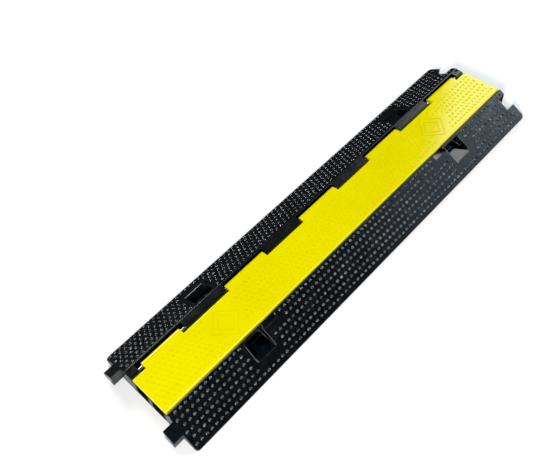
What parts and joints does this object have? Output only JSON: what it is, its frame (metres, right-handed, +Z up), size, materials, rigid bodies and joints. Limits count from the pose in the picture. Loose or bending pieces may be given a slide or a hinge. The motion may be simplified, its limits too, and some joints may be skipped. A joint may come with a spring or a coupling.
{
  "type": "cable protector ramp",
  "caption": "Low two-channel cable ramp: black studded rubber base with sloped sides, linking tongues and sockets, and a hinged yellow lid over the cable channels.",
  "frame": {"origin": "middle of the body's underside, halfway between its two end faces and its two toes", "axes": "+X along the ramp from the tongue end to the socket end, +Y towards the hinge side, +Z up"},
  "size_m": [1.022, 0.245, 0.045],
  "materials": {
    "black_rubber": "satin moulded rubber",
    "yellow_pvc": "satin moulded PVC",
    "steel": "bright drawn"
  },
  "bodies": {
    "base": {"base": "black_rubber", "hinge_rod": "steel"},
    "lid": {"lid": "yellow_pvc"}
  },
  "joints": [
    {"name": "lid_hinge", "type": "hinge", "parent": "base", "child": "lid", "pos_m": [0, 0.0435, 0.0377], "axis": [-1, 0, 0], "range_deg": [0, 105]}
  ]
}
